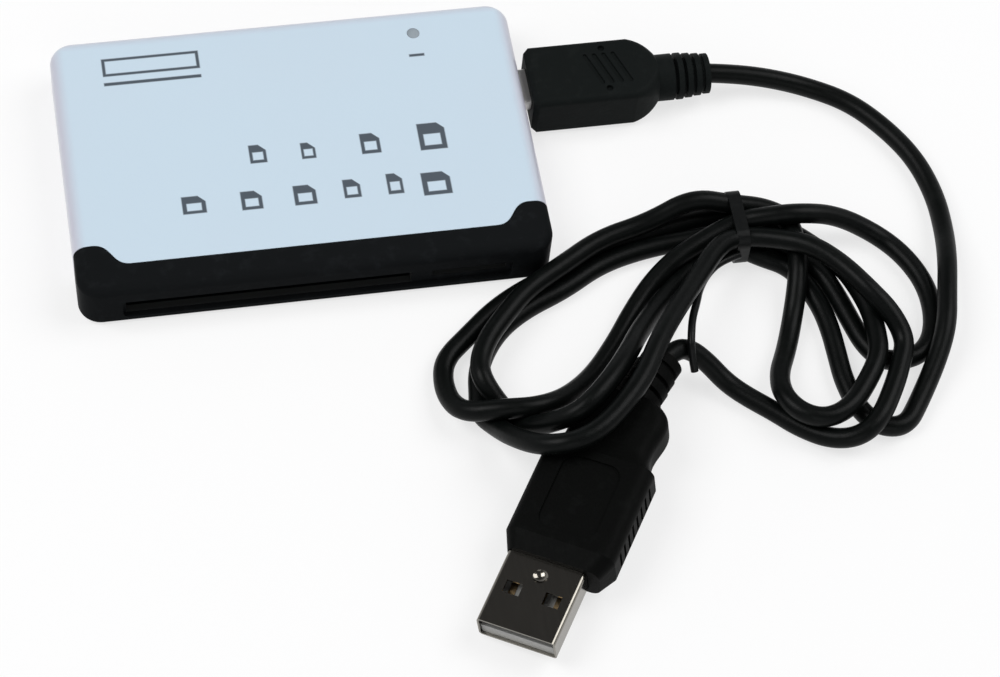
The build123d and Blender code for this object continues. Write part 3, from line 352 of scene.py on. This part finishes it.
# dark plastics: the front bezel, the soft plug mouldings, the cord's jacket, the tie, the sockets, the chips
darkPlastics = {
    "bezel": {
        "colour": (0.0076, 0.0084, 0.0090), "worn": (0.0138, 0.0154, 0.0168),
        "roughness": 0.34, "grain": 2200.0, "bump": 0.08, "shine": 0.004,
        # painted light inside the card slots
        "slots": {"colour": (0.038, 0.040, 0.039), "behind": -0.02265, "middle": 0.00345, "width": 0.0592, "height": 0.0043},
    },
    "moulding": {
        "colour": (0.0019, 0.0021, 0.0019), "worn": (0.0044, 0.0049, 0.0046),
        "roughness": 0.55, "grain": 1700.0, "bump": 0.22, "shine": 0.04,
    },
    # painted light: a lighter copy of the moulding, so that the small plug's top shows lighter than the large plug's
    "litSmallMoulding": {
        "colour": (0.0072, 0.0088, 0.0086), "worn": (0.012, 0.014, 0.0136),
        "roughness": 0.5, "grain": 1700.0, "bump": 0.2, "shine": 0.03,
    },
    "jacket": {
        "colour": (0.0018, 0.0024, 0.0022), "worn": (0.0050, 0.0062, 0.0058),
        "roughness": 0.38, "grain": 1300.0, "bump": 0.14, "shine": 0.10,
    },
    "tie": {
        "colour": (0.003, 0.0036, 0.0036), "worn": (0.009, 0.010, 0.010),
        "roughness": 0.36, "grain": 1500.0, "bump": 0.12, "shine": 0.16,
    },
    "socket": {
        "colour": (0.02, 0.02, 0.022), "worn": (0.04, 0.04, 0.042),
        "roughness": 0.5, "grain": 1900.0, "bump": 0.15, "shine": 0.4,
    },
    "chip": {
        "colour": (0.022, 0.022, 0.024), "worn": (0.045, 0.045, 0.047),
        "roughness": 0.55, "grain": 4200.0, "bump": 0.2, "shine": 0.4,
    },
    "resistor": {
        "colour": (0.03, 0.03, 0.034), "worn": (0.07, 0.07, 0.07),
        "roughness": 0.45, "grain": 3600.0, "bump": 0.12, "shine": 0.4,
    },
}
wear = {"cloudScale": 90.0, "rubScale": 420.0, "rubFrom": 0.52, "rubSpan": 0.16, "rubShare": 0.8, "cloudShare": 0.2}


def makeDark(name, p):
    f = Finish(name, Specular_IOR_Level=p["shine"])
    cloud = f.noise(wear["cloudScale"], 3.0)
    grain = f.noise(p["grain"], 3.0, 0.6)
    rubbed = (f.noise(wear["rubScale"], 4.0, 0.65) - wear["rubFrom"]).step(0.0, wear["rubSpan"]) * cloud
    tone = f.blend((rubbed * wear["rubShare"] + cloud * wear["cloudShare"]).within(), p["colour"], p["worn"])
    if "slots" in p:  # painted light: the walls inside the card slots, behind the face that they open in, are paler than the bezel's own black
        slots = p["slots"]
        x, y, z = f.axes()
        behind = y.step(slots["behind"] - 0.00003, slots["behind"])
        outside = box(x, z, 0.0, slots["middle"], slots["width"], slots["height"]).step(0.0, 0.0001)
        tone = f.blend(behind * (1.0 - outside), tone, slots["colour"])
    f.set(Base_Color=tone, Roughness=(p["roughness"] + 0.12 * (cloud - 0.5) + 0.08 * (grain - 0.5)).within())
    f.bump(grain, p["bump"], 0.0002)
    return f.material


# metals: the plugs' shells, the sockets' covers, the crystal's can, the contacts
noTurn = (0.0, 0.0, 0.0)
plugTurn = (0.0, 0.0, math.radians(32.4))  # the large plug lies askew, and its drawn marks with it
drawnMarks = (2600.0, 140.0, 2600.0)
metals = {
    # painted reflection: the large plug's steel is darkened so that its top shows a dark reflection
    "shadedPlugSteel": {"colour": (0.27, 0.255, 0.225), "dull": (0.17, 0.16, 0.14), "roughness": 0.16, "turn": plugTurn},
    # painted light: the small plug's steel is paler than the other steels, so that its shell looks light grey
    "litSmallPlugSteel": {"colour": (0.72, 0.71, 0.70), "dull": (0.58, 0.57, 0.56), "roughness": 0.42, "turn": noTurn},
    "socketSteel": {"colour": (0.56, 0.56, 0.55), "dull": (0.42, 0.42, 0.41), "roughness": 0.24, "turn": noTurn},
    "canSteel": {"colour": (0.62, 0.62, 0.61), "dull": (0.48, 0.48, 0.47), "roughness": 0.2, "turn": noTurn},
    "gold": {"colour": (0.83, 0.60, 0.24), "dull": (0.62, 0.43, 0.17), "roughness": 0.22, "turn": noTurn},
    # painted shade: a darker copy of the gold for the large plug's contacts, which lie in shade inside the shell
    "shadedPlugGold": {"colour": (0.40, 0.29, 0.16), "dull": (0.26, 0.18, 0.10), "roughness": 0.3, "turn": plugTurn},
}


def makeMetal(name, p):
    f = Finish(name, Metallic=1.0)
    drawn = f.noise(1.0, 4.0, 0.6, at=f.stretched(p["turn"], drawnMarks))
    stain = f.noise(210.0, 3.0)
    f.set(Base_Color=f.blend((stain * 0.6 + drawn * 0.3).within(), p["colour"], p["dull"]),
          Roughness=(p["roughness"] + 0.10 * (drawn - 0.5) + 0.06 * (stain - 0.5)).within())
    f.bump(drawn, 0.04, 0.0001)
    return f.material


# small finishes: the plugs' white inserts, the light pipe, the board, the parts on it
smallFinishes = {
    "insert": {
        "colour": (0.32, 0.32, 0.31), "second": (0.25, 0.25, 0.24),
        "roughness": 0.34, "grain": 1500.0, "patch": 160.0, "bump": 0.08,
    },
    "pipe": {
        "colour": (0.36, 0.41, 0.45), "second": (0.20, 0.24, 0.27),
        "roughness": 0.16, "grain": 900.0, "patch": 700.0, "bump": 0.05,
    },
    "board": {
        "colour": (0.018, 0.12, 0.045), "second": (0.035, 0.20, 0.08),
        "roughness": 0.38, "grain": 2400.0, "patch": 520.0, "bump": 0.12,
    },
    "lamp": {
        "colour": (0.82, 0.80, 0.70), "second": (0.66, 0.62, 0.48),
        "roughness": 0.3, "grain": 2400.0, "patch": 800.0, "bump": 0.06,
    },
    "ceramic": {
        "colour": (0.42, 0.29, 0.17), "second": (0.32, 0.21, 0.11),
        "roughness": 0.48, "grain": 4200.0, "patch": 900.0, "bump": 0.16,
    },
}


def makeSmall(name, p):
    f = Finish(name, Specular_IOR_Level=0.5)
    patch = f.noise(p["patch"], 2.0)
    grain = f.noise(p["grain"], 3.0)
    f.set(Base_Color=f.blend((patch * 0.7 + grain * 0.2).within(), p["colour"], p["second"]),
          Roughness=(p["roughness"] + 0.14 * (grain - 0.5)).within())
    f.bump(grain, p["bump"], 0.0002)
    return f.material


finishes = {name: makeDark(name, p) for name, p in darkPlastics.items()}
finishes.update({name: makeMetal(name, p) for name, p in metals.items()})
finishes.update({name: makeSmall(name, p) for name, p in smallFinishes.items()})
finishes["paleTop"] = makePaleShell(paleShell, True)
finishes["pale"] = makePaleShell(paleShell, False)

wornBy = {
    "paleTop": ["top_cover"],
    "pale": ["bottom_cover"],
    "bezel": ["front_bezel"],
    "pipe": ["led_lens"],
    "board": ["circuit_board"],
    "socket": ["cf_socket", "micro_socket_body", "combo_socket_body", "stick_socket_body", "usb_socket_tongue"],
    "socketSteel": ["micro_socket_shield", "combo_socket_cover", "stick_socket_shield", "usb_socket_shell"],
    "gold": ["cf_pins", "micro_contacts", "combo_contacts", "usb_socket_contacts"],
    "shadedPlugGold": ["usb_plug_contacts"],
    "chip": ["controller_chip"],
    "canSteel": ["crystal"],
    "lamp": ["status_led"],
    "ceramic": ["capacitors"],
    "resistor": ["resistors"],
    "moulding": ["usb_plug_overmould"],
    "litSmallMoulding": ["mini_plug_overmould"],
    "shadedPlugSteel": ["usb_plug_shell"],
    "litSmallPlugSteel": ["mini_plug_shell"],
    "insert": ["mini_plug_insert", "usb_plug_insert"],
    "tie": ["twist_tie"],
}
for finish, names in wornBy.items():
    for name in names:
        nodes[name].data.materials.clear()
        nodes[name].data.materials.append(finishes[finish])
cordPiece.data.materials.append(finishes["jacket"])
tieWire.data.materials.append(finishes["tie"])
print("finishes given to", sum(len(v) for v in wornBy.values()), "nodes, the cord and the tie's wire")

# floor, lamps and surroundings
studio = {
    "floorHalf": 3.0,
    "floorColour": (0.92, 0.92, 0.92),
    "floorRoughness": 0.8,
    "whiteness": 0.70,
    "aim": (0.03, -0.03, 0.0),
    "lamps": [
        {"at": (-0.52, 0.02, 0.80), "size": 0.55, "watts": 5.3},
        {"at": (0.58, 0.05, 0.74), "size": 0.60, "watts": 4.4},
        {"at": (-0.05, -0.95, 0.60), "size": 0.60, "watts": 1.2},
    ],
    "skyLow": (0.60, 0.605, 0.62),
    "skyHigh": (0.08, 0.08, 0.083),
    "skyFrom": 0.25,
    "skyTo": 0.72,
}


def layFloor(s):
    bpy.ops.mesh.primitive_grid_add(x_subdivisions=8, y_subdivisions=8, size=2 * s["floorHalf"], location=(0.0, 0.0, 0.0))
    floor = bpy.context.object
    floor.name = "floor"
    f = Finish("floorPaper", Base_Color=(*s["floorColour"], 1.0), Roughness=s["floorRoughness"])
    rays = [f.node("ShaderNodeLightPath", out=ray) for ray in ("Is Camera Ray", "Is Glossy Ray", "Is Transmission Ray")]
    seen = rays[0].over(rays[1]).over(rays[2])
    glow = f.node("ShaderNodeEmission", {}, {"Color": (1.0, 1.0, 1.0, 1.0)})
    both = f.node("ShaderNodeMixShader", {}, {0: seen * s["whiteness"], 1: Value(f, f.shader.outputs[0]), 2: glow})
    f.feed(f.tree.nodes["Material Output"].inputs["Surface"], both)
    floor.data.materials.append(f.material)


def hangLamps(s):
    for number, lamp in enumerate(s["lamps"]):
        data = bpy.data.lights.new("softLamp%d" % (number + 1), "AREA")
        data.shape = "SQUARE"
        data.size = lamp["size"]
        data.energy = lamp["watts"]
        lampObject = bpy.data.objects.new(data.name, data)
        bpy.context.scene.collection.objects.link(lampObject)
        aim = Vector(s["aim"]) - Vector(lamp["at"])
        lampObject.matrix_world = Matrix.Translation(lamp["at"]) @ aim.to_track_quat("-Z", "Y").to_matrix().to_4x4()


def lightSky(s):
    world = bpy.data.worlds.new("studioWorld")
    bpy.context.scene.world = world
    world.use_nodes = True
    tree = world.node_tree
    spot = tree.nodes.new("ShaderNodeTexCoord")
    split = tree.nodes.new("ShaderNodeSeparateXYZ")
    tree.links.new(spot.outputs["Generated"], split.inputs[0])
    ramp = tree.nodes.new("ShaderNodeMapRange")
    ramp.interpolation_type = "SMOOTHSTEP"
    ramp.inputs["From Min"].default_value = s["skyFrom"]
    ramp.inputs["From Max"].default_value = s["skyTo"]
    tree.links.new(split.outputs[2], ramp.inputs["Value"])
    mix = tree.nodes.new("ShaderNodeMix")
    mix.data_type = "RGBA"
    mix.inputs[6].default_value = (*s["skyLow"], 1.0)
    mix.inputs[7].default_value = (*s["skyHigh"], 1.0)
    tree.links.new(ramp.outputs[0], mix.inputs[0])
    tree.links.new(mix.outputs[2], tree.nodes["Background"].inputs["Color"])


layFloor(studio)
hangLamps(studio)
lightSky(studio)
print("studio lit")
